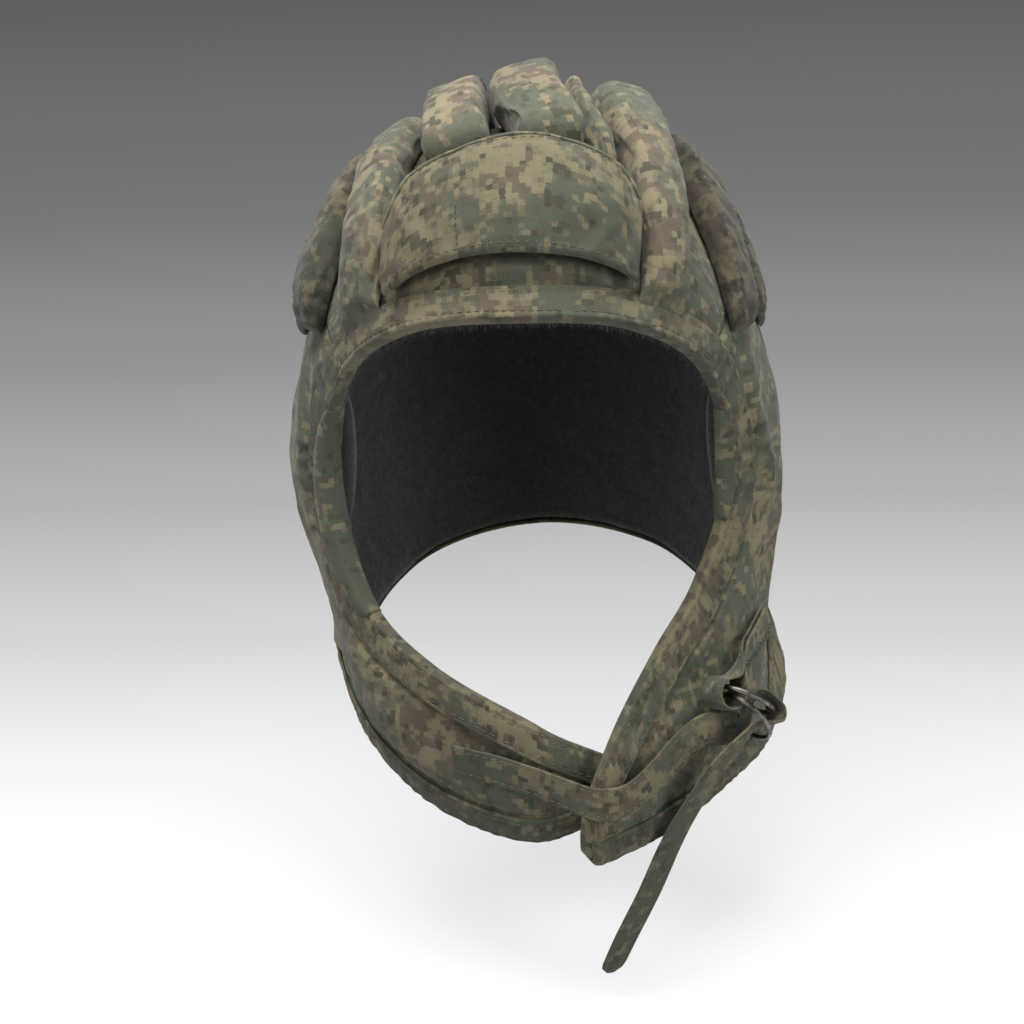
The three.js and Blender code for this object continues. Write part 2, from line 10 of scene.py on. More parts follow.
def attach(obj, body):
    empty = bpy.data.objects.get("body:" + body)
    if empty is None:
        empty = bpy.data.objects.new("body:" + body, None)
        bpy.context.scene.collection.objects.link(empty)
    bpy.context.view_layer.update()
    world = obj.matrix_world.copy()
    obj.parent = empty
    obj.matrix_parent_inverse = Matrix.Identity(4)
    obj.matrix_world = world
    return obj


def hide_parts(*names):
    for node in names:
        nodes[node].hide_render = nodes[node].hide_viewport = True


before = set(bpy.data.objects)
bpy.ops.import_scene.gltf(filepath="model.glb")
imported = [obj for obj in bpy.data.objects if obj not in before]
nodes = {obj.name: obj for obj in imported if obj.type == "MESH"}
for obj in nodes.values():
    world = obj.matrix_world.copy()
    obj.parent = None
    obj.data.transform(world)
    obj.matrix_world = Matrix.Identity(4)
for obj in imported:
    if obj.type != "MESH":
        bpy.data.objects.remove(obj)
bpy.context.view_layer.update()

# Camera. It stands in front of the helmet and a little above it, with a long lens, at the angle of the
# photograph, and leans a little to the right.
azimuth, elevation, roll = radians(4), radians(20), radians(2.3)
aim = Vector((-0.011, 0, -0.155))
stand_off = 1.4
back = Vector((sin(azimuth) * cos(elevation), -cos(azimuth) * cos(elevation),
               sin(elevation)))
level = Vector((cos(azimuth), sin(azimuth), 0))
upright = back.cross(level)
right = level * cos(roll) - upright * sin(roll)
up = upright * cos(roll) + level * sin(roll)
camera_data = bpy.data.cameras.new("camera")
camera_data.lens = 118.125
camera_data.sensor_width = 36


def put_in_scene(name, data):
    """A new object at the origin, for a camera, a lamp, a curve or a mesh."""
    made = bpy.data.objects.new(name, data)
    bpy.context.collection.objects.link(made)
    return made


camera = put_in_scene("camera", camera_data)
camera.matrix_world = Matrix.Translation(aim + back * stand_off) @ Matrix(
    (right, up, back)).transposed().to_4x4()
scene = bpy.context.scene
scene.camera = camera


# Studio floor. One wide pale sheet of paper lies under the end of the strap, and it darkens towards the
# back as in the photograph. It glows in its own grey, so the lamps leave no patch on it.
def set_inputs(node, values):
    """Sets or links inputs of a shader node, by name or by number."""
    for key, value in values.items():
        if isinstance(value, bpy.types.NodeSocket):
            node.id_data.links.new(value, node.inputs[key])
        else:
            node.inputs[key].default_value = value


def add_node(tree, kind, *values, out=0, sockets=None, **settings):
    """A shader node with its first inputs, or named ones, set or linked; gives one of its outputs."""
    made = tree.nodes.new("ShaderNode" + kind)
    for key, value in settings.items():
        setattr(made, key, value)
    set_inputs(made, {**dict(enumerate(values)), **(sockets or {})})
    return made.outputs[out]


def noise(tree, where, scale, detail=2.0, roughness=0.5, distortion=0.0, out=0):
    """Cloudy noise, from 0 to 1."""
    return add_node(tree, "TexNoise", out=out, sockets={
        "Vector": where, "Scale": scale, "Detail": detail, "Roughness": roughness,
        "Distortion": distortion})


def relief(tree, height, strength, depth, **under):
    """Raises a surface by a height in metres, over another relief if one is given."""
    return add_node(tree, "Bump", sockets={
        "Strength": strength, "Distance": depth, "Height": height, **under})


def new_material(name):
    """A new surface material, its node tree and its shader."""
    material = bpy.data.materials.new(name)
    material.use_nodes = True
    shader = material.node_tree.nodes["Principled BSDF"]
    return material, material.node_tree, shader


def paint(red, green, blue):
    """A colour given as 0 to 255 on the screen, in the shader's own linear scale."""
    return tuple(((c / 255 + 0.055) / 1.055) ** 2.4 for c in (red, green, blue)) + (1,)


def ramp(tree, value, stops):
    """A colour for a value from 0 to 1, through stops of (place, colour)."""
    made = tree.nodes.new("ShaderNodeValToRGB")
    for element, (place, colour) in zip(list(made.color_ramp.elements), stops):
        element.position = place
        element.color = colour
    for place, colour in stops[2:]:
        made.color_ramp.elements.new(place).color = colour
    tree.links.new(value, made.inputs[0])
    return made.outputs[0]


def piece_from(name, bm):
    """A smooth shaded object made of a finished bmesh."""
    mesh = bpy.data.meshes.new(name)
    bm.to_mesh(mesh)
    bm.free()
    mesh.shade_smooth()
    return put_in_scene(name, mesh)


floor_height, floor_radius = -0.338, 7
bm = bmesh.new()
bmesh.ops.create_circle(bm, cap_ends=True, segments=96, radius=floor_radius,
                        matrix=Matrix.Translation((0, 0, floor_height)))
floor = piece_from("studio_floor", bm)
floor_paper, tree, shader = new_material("floor_paper")
place = add_node(tree, "TexCoord", out=3)
depth = add_node(tree, "SeparateXYZ", place, out=1)
share = add_node(tree, "MapRange", depth, -0.1, 2.0, 0.0, 1.0)
# Painted light: the floor glows in this grey, which darkens towards the back.
painted_glow_grade = ramp(tree, share, [
    (share, (grey, grey, grey, 1)) for share, grey in (
        (0, 0.36), (1, 0.035), (0.07, 0.3), (0.2, 0.185), (0.3, 0.126), (0.42, 0.086), (0.6, 0.054))])
set_inputs(shader, {
    "Base Color": painted_glow_grade, "Emission Color": painted_glow_grade, "Emission Strength": 2.0, "Roughness": 0.9,
    "Normal": relief(tree, noise(tree, place, 900.0), 0.05, 0.0002)})
floor.data.materials.append(floor_paper)
floor.visible_diffuse = False

# Studio lights: one large soft lamp overhead and in front, two weaker ones at the sides, and an even
# glow from the white room.
for name, place, size, power in (
        ("overhead", (-0.15, -0.2, 1.6), 1.5, 54),
        ("left_fill", (-1.7, -1.9, 0.8), 1.4, 11),
        ("right_fill", (1.9, -1.5, 0.5), 1.4, 21)):
    lamp = bpy.data.lights.new(name, "AREA")
    lamp.size = size
    lamp.energy = power
    light = put_in_scene(name, lamp)
    towards = Vector(place) - Vector((0, 0, -0.15))
    light.matrix_world = Matrix.LocRotScale(place, towards.to_track_quat("Z", "Y"), None)
room = bpy.data.worlds.new("white_room")
room.use_nodes = True
set_inputs(room.node_tree.nodes["Background"], {"Color": (1, 1, 1, 1), "Strength": 0.3})
scene.world = room
scene.view_settings.view_transform = "Standard"

# Hood: three panels of padded camouflage cloth, one over the crown and one down each side to a cheek
# flap. They are cut flat, sewn together along the temples and topstitched, and worn soft.
mm = 0.001
arches = (
    ((0, -94, -43), (44, -83, -50), (72, -55, -78), (80, -42, -126)),
    ((0, -58, -5), (47, -50, -18), (80, -38, -62), (91, -30, -126)),
    ((0, -4, 7.2), (51, -2, -8), (85, -8, -58), (98, -14, -128)),
    ((0, 50, -7), (48, 46, -21), (84, 26, -62), (101, 6, -133)),
    ((0, 89, -46), (44, 80, -54), (78, 56, -80), (99, 26, -145)),
    ((0, 101, -98), (42, 92, -104), (74, 70, -124), (94, 32, -168)),
    ((0, 95, -148), (39, 87, -152), (69, 68, -167), (90, 29, -194)),
    ((0, 82, -190), (36, 76, -194), (64, 60, -204), (84, 30, -218)))
flaps = {
    -1: {"neck_ear": (-78, 22, -216),
         "face": ((-68, -56, -171), (-40, -80, -192), (2, -93.5, -211.5), (31, -78.5, -232)),
         "neck": ((-75, -33, -232), (-46, -64, -256), (-4, -86, -265), (27, -81, -258))},
    1: {"neck_ear": (99.5, 10, -227),
        "face": ((67, -54, -166), (51, -72, -188), (35, -90, -212), (21, -101, -238)),
        "neck": ((94.5, -20, -248), (76, -48, -258.5), (51, -76, -267), (22, -100, -271))}}
flap_bulge = 5
last_row = len(arches) - 1
flap_tip = 7
lip = 2.7 * mm
seam_column, seam_gap = 2, 0.004  # arch column of the temple seams and the gap beside it
head_radius = 97 * mm


def half_arch(arch, row, side):
    """Points of one arch from the middle of the head to a flap's tip, in mm."""
    flap = flaps[side]
    points = [(side * x, y, z) for x, y, z in arch]
    if row == last_row:
        points[3] = flap["neck_ear"]
    share = row / last_row
    for face, neck in zip(flap["face"], flap["neck"]):
        point = np.array(face) * (1 - share) + np.array(neck) * share
        outwards = point * (1, 1, 0) / np.hypot(point[0], point[1])
        points.append(point + outwards * flap_bulge * 4 * share * (1 - share))
    return np.array(points, float)


hood_points = np.array([
    np.concatenate([half_arch(arch, row, -1)[::-1], half_arch(arch, row, 1)[1:]])
    for row, arch in enumerate(arches)]) * mm


def spline(values, t, *each):
    """Smooth curve through values at t = 0, 1, 2 and so on. With a number for each t, every t reads
    its own curve."""
    ends = np.concatenate([2 * values[:1] - values[1:2], values, 2 * values[-1:] - values[-2:-1]])
    i = np.clip(np.floor(t).astype(int), 0, len(values) - 2)
    f = (t - i).reshape(t.shape + (1,) * (values.ndim - 1 - len(each)))
    weights = ((-f + 2 * f ** 2 - f ** 3) / 2, (2 - 5 * f ** 2 + 3 * f ** 3) / 2,
               (f + 4 * f ** 2 - 3 * f ** 3) / 2, (f ** 3 - f ** 2) / 2)
    return sum(weight * ends[(i + k, *each)] for k, weight in enumerate(weights))


def hood_surface(column, row):
    """Points of the hood's outer surface at arch columns (-7 to 7) and rows (0 to 7, face to neck)."""
    across = spline(hood_points.transpose(1, 0, 2), column + flap_tip)
    return spline(across.transpose(1, 0, 2), row, np.arange(len(row)))


def limited(values):
    """Values kept within 0 and 1."""
    return np.clip(values, 0, 1)


def unit(vectors):
    """The same directions at length 1."""
    return vectors / np.maximum(norm(vectors, axis=-1, keepdims=True), 1e-12)


def hood_frame(column, row):
    """Place, way along the columns, way along the rows and outward normal of the hood."""
    column, row = (np.asarray(a, float).ravel() for a in np.broadcast_arrays(column, row))
    step = 0.002
    along_column = (hood_surface(column + step, row) - hood_surface(column - step, row)) / (2 * step)
    along_row = (hood_surface(column, row + step) - hood_surface(column, row - step)) / (2 * step)
    return hood_surface(column, row), along_column, along_row, unit(np.cross(along_column, along_row))


def lifted(column, row, lift=0.0):
    """Points lifted off the hood's outer surface by some metres."""
    at, _, _, normal = hood_frame(column, row)
    return at + normal * np.asarray(lift, float).reshape(-1, 1)


def row_inside(column, distance, at_neck=False):
    """The row that lies a distance square inside the face edge, or inside the neck edge."""
    steps = np.linspace(0, 3.2, 161)  # the distances asked for all lie within 3.2 rows of the edge
    rows = last_row - steps if at_neck else steps
    found = []
    for one, reach in zip(*np.broadcast_arrays(np.atleast_1d(column), distance)):
        _, along_column, along_row, _ = hood_frame(one, rows)
        edge = unit(along_column)
        square = along_row - edge * (along_row * edge).sum(1, keepdims=True)
        travelled = np.cumsum(norm(square, axis=1)) * steps[1]
        found.append(np.interp(reach, travelled - travelled[0], rows))
    return np.array(found)


def corner(column, radius=6 * mm, reach=0.17):
    """How far an edge draws in at the rounded corners of the flap tips."""
    near_tip = limited((abs(column) - (flap_tip - reach)) / reach)
    return radius * (1 - np.sqrt(1 - 0.98 * near_tip ** 2))


stations = np.concatenate([  # columns at which the edges are measured, closer at the flap tips
    np.linspace(-6.99, -6.81, 16), np.linspace(-6.75, 6.75, 109), np.linspace(6.81, 6.99, 16)])
edge_rows_found = {}


def edge_row(column, inset=0.0, at_neck=False):
    """The row of a line that runs an inset inside the face edge or the neck edge, corners and all."""
    if (inset, at_neck) not in edge_rows_found:
        edge_rows_found[inset, at_neck] = row_inside(stations, inset + corner(stations), at_neck)
    return np.interp(column, stations, edge_rows_found[inset, at_neck])


def row_between(column, t):
    """The row at a share t of the way from the cloth's face edge to its neck edge."""
    return edge_row(column, lip) * (1 - t) + edge_row(column, lip, True) * t


def near_line(points, path):
    """How far points are from a line over the hood, and how far along it, from 0 to 1."""
    line = lifted(*np.array(path, float).T)
    distance = np.full(len(points), 9.0)
    along = np.zeros(len(points))
    for k, (start, end) in enumerate(zip(line[:-1], line[1:])):
        way = end - start
        t = limited((points - start) @ way / (way @ way))
        d = norm(points - start - t[:, None] * way, axis=1)
        nearer = d < distance
        distance[nearer] = d[nearer]
        along[nearer] = (k + t[nearer]) / (len(line) - 1)
    return distance, along


def hump(x, middle, width):
    """A smooth hump, 1 high at its middle."""
    return np.exp(-((x - middle) / width) ** 2)


fold_depth = 1.4  # how deep the folds are pressed, against the heights in the tables


def folds(points, table):
    """Height of a set of folds, each a line over the hood with its width and its height in mm."""
    height = np.zeros(len(points))
    for path, width, tall in table:
        distance, along = near_line(points, path)
        ends = np.sqrt(limited(np.sin(pi * (0.04 + 0.92 * along))))
        height += fold_depth * tall * mm * ends * hump(distance, 0, width * mm)
    return height


def lengths_along(line):
    """How far each point of a line is from its start."""
    return np.concatenate([[0], np.cumsum(norm(np.diff(line, axis=0), axis=1))])


def crumple(points, wavelength, seed):
    """Gentle waves that cross each other, about -1 to 1 high."""
    chance = np.random.default_rng(seed)
    height = np.zeros(len(points))
    for _ in range(9):
        way = unit(chance.normal(size=3)) * 2 * pi / (wavelength * chance.uniform(0.7, 1.5))
        bend = unit(chance.normal(size=3)) * 2 * pi / (wavelength * 2.6)
        height += np.sin(points @ way + 1.4 * np.sin(points @ bend) + chance.uniform(0, 6.3))
    return height / 4


def of_points(mesh, key="co"):
    """The places of a mesh's points, or their normals, as an array."""
    values = np.empty(len(mesh.vertices) * 3)
    mesh.vertices.foreach_get(key, values)
    return values.reshape(-1, 3)


def lay_out(mesh, uv):
    """Gives every point of a cloth its place on the flat cloth, 1 for every 100 mm."""
    corners = np.empty(len(mesh.loops), np.int32)
    mesh.loops.foreach_get("vertex_index", corners)
    layer = mesh.uv_layers.new(name="cloth")
    layer.data.foreach_set("uv", (uv[corners] * 10).astype(np.float32).ravel())


def merged(mesh):
    """A mesh with its doubled points merged."""
    bm = bmesh.new()
    bm.from_mesh(mesh)
    bmesh.ops.remove_doubles(bm, verts=bm.verts, dist=1e-6)
    return bm


def cloth_grid(name, across, along, lay, *given, closed=False):
    """A grid of cloth laid by a function of what is given and of shares 0 to 1 across and along it."""
    bm = bmesh.new()
    bmesh.ops.create_grid(bm, x_segments=across, y_segments=along, size=0.5)
    shares = np.array([v.co for v in bm.verts])[:, :2] + 0.5
    points, uv = lay(*given, *shares.T)
    if uv is None:  # the lengths round and along it as laid, counted from its middle
        net = points.reshape(along + 1, across + 1, 3)
        around, run = (np.cumsum(norm(np.diff(
            net, axis=a, prepend=np.take(net, [0], a)), axis=2), axis=a) for a in (1, 0))
        uv = np.stack([around - around[:, across // 2, None], np.broadcast_to(
            (run - run[along // 2]).mean(1, keepdims=True), run.shape)], axis=2).reshape(-1, 2)
    round_share = bm.verts.layers.float.new("round_share")
    run_share = bm.verts.layers.float.new("run_share")
    for vertex, point, (s, t) in zip(bm.verts, points, shares):
        vertex.co = point
        vertex[round_share] = s
        vertex[run_share] = t
    made = piece_from(name, bm)
    lay_out(made.data, uv)
    if closed:
        bm = merged(made.data)
        bmesh.ops.holes_fill(bm, edges=[e for e in bm.edges if e.is_boundary], sides=0)
        bmesh.ops.recalc_face_normals(bm, faces=bm.faces)
        bm.to_mesh(made.data)
        bm.free()
        made.data.shade_smooth()
    return made


khaki, grey_green = paint(121, 114, 87), paint(82, 86, 71)
brown, dark_olive = paint(95, 85, 70), paint(72, 70, 56)
cell = 2.3 * mm  # side of one printed square


def camouflage(name, shift, warmth=0.0, value=1.0, green=-0.03):
    """Cotton cloth printed with a small-square camouflage, laid out anew for each shift. Warmth turns
    its colours towards red, value is its brightness, which the pieces set partly as painted light and
    shade, and less green gives more of it."""
    material, tree, shader = new_material(name)

    def maths(operation, *values):
        return add_node(tree, "Math", *values, operation=operation)

    def vectors(operation, *values, **more):
        return add_node(tree, "VectorMath", *values, operation=operation, **more)

    def squares(size):
        """Places drawn together into squares, with a soft step between them."""
        scaled = vectors("SCALE", flat, sockets={"Scale": 0.1 / size})
        whole, part = vectors("FLOOR", scaled), vectors("FRACTION", scaled)
        step = add_node(
            tree, "MapRange", out=1, data_type="FLOAT_VECTOR", interpolation_type="SMOOTHSTEP",
            sockets={6: part, 7: (0.3, 0.3, 0.3), 8: (0.7, 0.7, 0.7), 9: (0, 0, 0), 10: (1, 1, 1)})
        return vectors("ADD", whole, step)

    def cell_noise(cells, scale, offset):
        moved = vectors("ADD", cells, (offset, offset * 0.37, offset * 0.71))
        return noise(tree, moved, scale, 0.0)

    def patches(size, offset, ragged, edge):
        """1 inside patches about size squares wide, with ragged, stepped borders."""
        smooth = cell_noise(small, 0.62 / size, offset)
        rough = maths("MULTIPLY", cell_noise(double, 0.47, offset * 1.7), ragged * 0.5)
        spiky = maths("MULTIPLY", cell_noise(small, 0.71, offset * 2.3), ragged * 1.3)
        total = maths("ADD", maths("ADD", smooth, rough), spiky)
        limit = 0.5 + 0.9 * ragged + edge  # the sum's mean, and how much rarer than even they are
        return add_node(tree, "MapRange", total, limit - 0.06, limit + 0.06, 0.0, 1.0)

    def lay_over(share, under, over):
        return add_node(tree, "Mix", out=2, data_type="RGBA", sockets={0: share, 6: under, 7: over})

    cloth = add_node(tree, "UVMap", uv_map="cloth")
    plain = vectors("ADD", cloth, (shift, shift * 0.61, 0))
    bleed = noise(tree, plain, 75.0, out=1)
    flat = vectors("MULTIPLY_ADD", bleed, (0.014, 0.014, 0), plain)
    small = squares(cell)
    double = squares(2 * cell)
    light = lay_over(patches(1.7, 21.3, 0.5, 0.04), khaki, brown)
    deep = lay_over(patches(1.7, 93.1, 0.5, 0.17), grey_green, khaki)
    both = lay_over(patches(10, 3.1, 0.26, green), light, deep)
    printed = lay_over(patches(1.5, 63.7, 0.5, 0.2), both, dark_olive)
    washed = maths("MULTIPLY", noise(tree, flat, 5.0, 3.0, 0.65), 0.44)
    threads = maths("MULTIPLY", noise(tree, flat, 150.0, 2.0, 0.7), 0.42)
    brightness = maths("ADD", maths("ADD", washed, threads), value - 0.43)
    shade = add_node(tree, "HueSaturation", sockets={
        "Hue": 0.5 - warmth * 0.01, "Saturation": 0.95, "Value": brightness, "Color": printed})
    weave = maths("ADD", *(add_node(tree, "TexWave", out=1, bands_direction=way, sockets={
        "Vector": flat, "Scale": 55.0, "Distortion": 0.8, "Detail Scale": 8.0}) for way in "XY"))
    wrinkled = relief(tree, noise(tree, flat, 9.0, 4.0, 0.6), 0.5, 0.0016)
    woven = relief(tree, weave, 0.4, 0.00012, Normal=wrinkled)
    set_inputs(shader, {"Base Color": shade, "Roughness": 0.86, "Specular IOR Level": 0.22,
                        "Sheen Weight": 0.16, "Sheen Roughness": 0.5, "Normal": woven})
    return material


def thicken(made, thickness, offset=-1):
    """Gives a skin of cloth its thickness, inwards (-1) or both ways (0)."""
    wall = made.modifiers.new("wall", "SOLIDIFY")
    wall.thickness = thickness
    wall.offset = offset


def dress(made, material, slot, *cad_nodes):
    """Gives a piece its material and its place in the frame."""
    made.data.materials.clear()
    made.data.materials.append(material)
    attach(made, "root")
    if cad_nodes:
        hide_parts(*cad_nodes)


def round_side(points):
    """Flat places for cloth that hangs down the sides: round the head, and height."""
    return np.stack([np.arctan2(points[:, 0], -points[:, 1]) * head_radius, points[:, 2]], axis=1)


seam_inset = 14.6 * mm  # the panels sink to their seams with the bindings, this far inside the edges
column_width = 40 * mm  # about as wide as one arch column is across the crown
panels = {  # folds: arch columns and rows along each, its width and its height in mm
    "crown_cloth": {
        "node": "crown_shell", "columns": (seam_gap - seam_column, seam_column - seam_gap),
        "grid": (150, 170), "flat": None, "shift": 3.0, "folds": (
        (((-1.1, 0.32), (-0.5, 0.38), (0, 0.39), (0.5, 0.38), (0.98, 0.32)), 4.5, 3.4),)},
    "right_side_cloth": {
        "node": "side_panel_right", "columns": (0.01 - flap_tip, -seam_column - seam_gap),
        "grid": (210, 150), "flat": round_side, "shift": 11.0, "value": 1.06, "folds": (
        (((-2.24, 1.7), (-2.73, 1.28), (-3.3, 2.03)), 5, 1.8),
        (((-2.6, 2.4), (-3.1, 2.7), (-3.5, 3.4)), 6, 1.5),
        (((-3.57, 1.0), (-3.87, 0.78), (-4.65, 0.52)), 2.5, -1.3),
        (((-3.72, 1.6), (-4.09, 1.62), (-4.6, 2.2)), 5, 1.8),
        (((-3.92, 2.9), (-4.44, 3.12), (-5.0, 3.6)), 7, 1.7),
        (((-5.2, 1.8), (-5.7, 2.5), (-6.3, 3.4)), 6, -1.4),
        (((-4.2, 4.3), (-5, 4.6), (-6.2, 4.4)), 7, 1.4))},
    # The left side panel's cloth is made lighter than the others', as painted light on that cheek.
    "left_side_cloth": {
        "node": "side_panel_left", "columns": (seam_column + seam_gap, flap_tip - 0.01),
        "grid": (210, 150), "flat": round_side, "shift": 23.0, "value": 1.21, "folds": (
        (((2.17, 1.33), (2.57, 1.07), (2.99, 1.5), (3.24, 2.05)), 4, 2.2),
        (((2.4, 0.85), (2.8, 0.75), (3.2, 1.2), (3.5, 1.7)), 3, -1.3),
        (((2.5, 2.3), (3.33, 2.75), (3.62, 3.98)), 6, 1.9),
        (((3.5, 0.9), (4.1, 1.0), (4.7, 1.5)), 5, 1.6),
        (((4.4, 1.9), (5.0, 1.7), (5.6, 2.2)), 6, -1.7),
        (((5.38, 0.72), (5.82, 1.13), (6.27, 1.5)), 4, 1.5),
        (((3.88, 3.35), (4.5, 3.9), (5.3, 4.4)), 6, 1.6),
        (((5.7, 3.6), (6.2, 3.2), (6.8, 3.4)), 5, -1.4))},
}


def lay_panel(panel, number, s, t):
    """Lays a panel on the hood, with its folds, gathers at the bindings and sunken seams."""
    first, last = panel["columns"]
    column = first + (last - first) * s
    row = row_between(column, t)
    points, _, along_row, _ = hood_frame(column, row)
    seam = np.minimum(row - edge_row(column, seam_inset), edge_row(column, seam_inset, True) - row)
    seam = seam * norm(along_row, axis=1)
    lift = folds(points, panel["folds"]) + 0.5 * mm * crumple(points, 0.03, number)
    lift += 0.3 * mm * crumple(points, 0.012, number + 40)
    gathered = hump(abs(column), 2.9, 0.8) + 0.5 * hump(abs(column), 5, 1.2)
    waves = np.sin(column * 36 + 1.5 * np.sin(column * 11)) + 0.6 * np.sin(column * 23 + 2)
    lift += 0.9 * mm * waves * gathered * np.exp(-np.maximum(seam - 1 * mm, 0) / (8 * mm))
    lift *= limited((seam + 2 * mm) / (5 * mm))
    lift -= 0.9 * mm * hump(seam, 0, 1.5 * mm)
    edge = np.minimum(s, 1 - s) * (last - first) * column_width
    lift = lift * limited(edge / (8 * mm)) - 1.0 * mm * hump(edge, 0, 1.2 * mm)
    return lifted(column, row, lift), panel["flat"] and panel["flat"](points)


for number, (name, panel) in enumerate(panels.items()):
    made = cloth_grid(name, *panel["grid"], lay_panel, panel, number)
    thicken(made, 3.6 * mm)
    dress(made, camouflage(name, panel["shift"], value=panel.get("value", 1.0)), "camouflage_cloth",
          panel["node"])


# Lining of dark grey fleece: one skin of brushed pile inside the cloth, stretched over the padding
# and sewn in at both edges.
lining_depth = 5.4 * mm


def fleece(name, tint):
    """Brushed fleece, matt and slightly matted."""
    material, tree, shader = new_material(name)
    where = add_node(tree, "TexCoord", out=3)
    tufts = noise(tree, where, 420.0, 4.0, 0.75, 0.6)
    colour = ramp(tree, tufts, [(0.3, paint(*(c * 0.6 for c in tint))), (0.75, paint(*tint))])
    soft = relief(tree, noise(tree, where, 95.0, 3.0), 0.8, 0.0018)
    pile = relief(tree, tufts, 0.9, 0.0008, Normal=soft)
    set_inputs(shader, {"Base Color": colour, "Roughness": 0.97, "Specular IOR Level": 0.1,
                        "Sheen Weight": 0.45, "Sheen Roughness": 0.6, "Normal": pile})
    return material


def lay_lining(s, t):
    """Lays the lining inside the panels, from one flap's tip to the other's."""
    column = (flap_tip - 0.01) * (2 * s - 1)
    row = row_between(column, t)
    points = lifted(column, row)
    lift = -lining_depth + 0.25 * mm * crumple(points, 0.012, 9)
    return lifted(column, row, lift), round_side(points)


lining_grid = (320, 110)
lining = cloth_grid("fleece_lining", *lining_grid, lay_lining)
net = of_points(lining.data).reshape(lining_grid[1] + 1, lining_grid[0] + 1, 3)
cut_size = [float(norm(np.diff(net, axis=a), axis=2).sum(a).max()) for a in (1, 0)]
thicken(lining, 1.6 * mm)
dress(lining, fleece("dark_fleece", (84, 84, 80)), "fleece", "lining")


# Bindings of the face edge and the neck edge: strips of the same cloth folded over the edge and
# stitched down twice, slightly gathered where they turn the corners.
band_width = 13.5 * mm
stitch_insets = (2.6, 11.3)  # the two rows of stitches, in mm inside the edge
band_profile = (  # distance inside the edge and lift, round the strip's section, in mm
    (13.5, 0.4), (13.55, 0.85), (13.2, 1.35), (12.4, 1.6), (9, 1.75), (5.5, 1.8), (2.6, 1.75),
    (1.1, 1.5), (0.2, 0.7), (0, -0.6), (0, -2.4), (0.1, -3.9), (0.6, -4.55), (1.2, -4.5), (1.55, -3.8),
    (1.6, -2.4), (1.6, -0.6), (1.9, 0.2), (3, 0.4), (8, 0.4), (13.5, 0.4))


def edge_frame(column, at_neck=False):
    """Places on the face edge or the neck edge, the way into the cloth from there, and the normal."""
    at, along_column, along_row, normal = hood_frame(column, edge_row(column, 0.0, at_neck))
    edge = unit(along_column)
    square = unit(along_row - edge * (along_row * edge).sum(1, keepdims=True))
    slant = (unit(along_row) * square).sum(1, keepdims=True)
    return at, unit(along_row) / slant * (-1 if at_neck else 1), normal


def lay_band(at_neck, s, t):
    """Lays a binding along the face edge or the neck edge."""
    profile = np.array(band_profile) * mm
    turns = lengths_along(profile)
    column = (flap_tip - 0.01) * (2 * s - 1)
    inside, lift = spline(profile, t * (len(profile) - 1)).T
    at, inwards, normal = edge_frame(column, at_neck)
    near = at + inwards * inside[:, None] + normal * lift[:, None]
    share = limited(inside / band_width)
    rim, half, full = (edge_row(column, d, at_neck) for d in (0.0, band_width / 2, band_width))
    row = np.where(share < 0.5, rim + (half - rim) * share * 2, half + (full - half) * (share * 2 - 1))
    far = lifted(column, row, lift)
    mix = limited((inside / mm - 1.6) / 3)[:, None]
    points = near * (1 - mix) + far * mix
    top = limited((lift - 0.6 * mm) / (1 * mm))
    gathered = (hump(abs(column), 2.8, 0.7) + 0.6 * hump(abs(column), 5.2, 1.3)
                + 1.4 * hump(column, 2.05, 0.4))
    puckers = np.sin(column * 37 + 2 * np.sin(column * 9)) * (0.15 + 0.4 * gathered)
    puckers += crumple(points, 0.011, 5) * 0.25
    grooves = -0.35 * sum(hump(inside / mm, inset, 0.7) for inset in stitch_insets)
    points = points + normal * ((puckers * 0.8 + grooves) * mm * top)[:, None]
    runs = np.cumsum(norm(
        np.diff(edge_frame(stations, at_neck)[0], axis=0, prepend=0), axis=1))
    turned = np.interp(t * (len(profile) - 1), range(len(profile)), turns)
    return points, np.stack([np.interp(column, stations, runs), turned], axis=1)


for name, at_neck, node, shift in (("face_binding", False, "face_band", 31.0),
                                   ("neck_binding", True, "neck_band", 37.0)):
    band = cloth_grid(name, 460, 60, lay_band, at_neck, closed=True)
    dress(band, camouflage(name, shift, value=0.93), "binding_cloth", node)


# Face folds: where the face edge turns down towards the cheeks, the spare width of the binding rolls
# inwards, as a smooth lobe on the right and as a thin crescent on the left.
def lay_fold(columns, size, s, t):
    """Lays a face fold: from its outer line, over the lobe and round the rim to the inside."""
    at, inwards, normal = edge_frame(columns[0] + (columns[1] - columns[0]) * t)
    full = np.sqrt(np.sin(pi * t).clip(0, 1))
    cover, reach, puff = (part * full for part in size)
    section = np.array([
        (cover + 0.3, 1.6 + 0 * full), (cover * 0.8, 1.9 + puff * 0.7), (cover * 0.45, 2 + puff),
        (0.3 - reach * 0.3, 1.4 + puff * 0.8), (-reach, -1.2 + puff * 0.3),
        (-reach * 0.9, -3.6 + 0 * full), (0.8 + 0 * full, -5 + 0 * full)]) * mm
    inside, lift = spline(section.transpose(0, 2, 1), s * (len(section) - 1), np.arange(len(s))).T
    lift = lift + 0.25 * mm * crumple(at, 0.012, 8) * full
    return at + inwards * inside[:, None] + normal * lift[:, None], None


for name, columns, size, shift in (  # arch columns; mm it covers, stands into the opening and puffs up
        ("right_face_fold", (-2.35, -4.15), (10.5, 1.6, 2.4), 211.0),
        ("left_face_fold", (2.4, 3.4), (1.2, 5.5, 0.3), 223.0)):
    made = cloth_grid(name, 30, 90, lay_fold, columns, size)
    thicken(made, 0.6 * mm, 0)
    dress(made, camouflage(name, shift, value=0.95, green=-0.2), "binding_cloth")


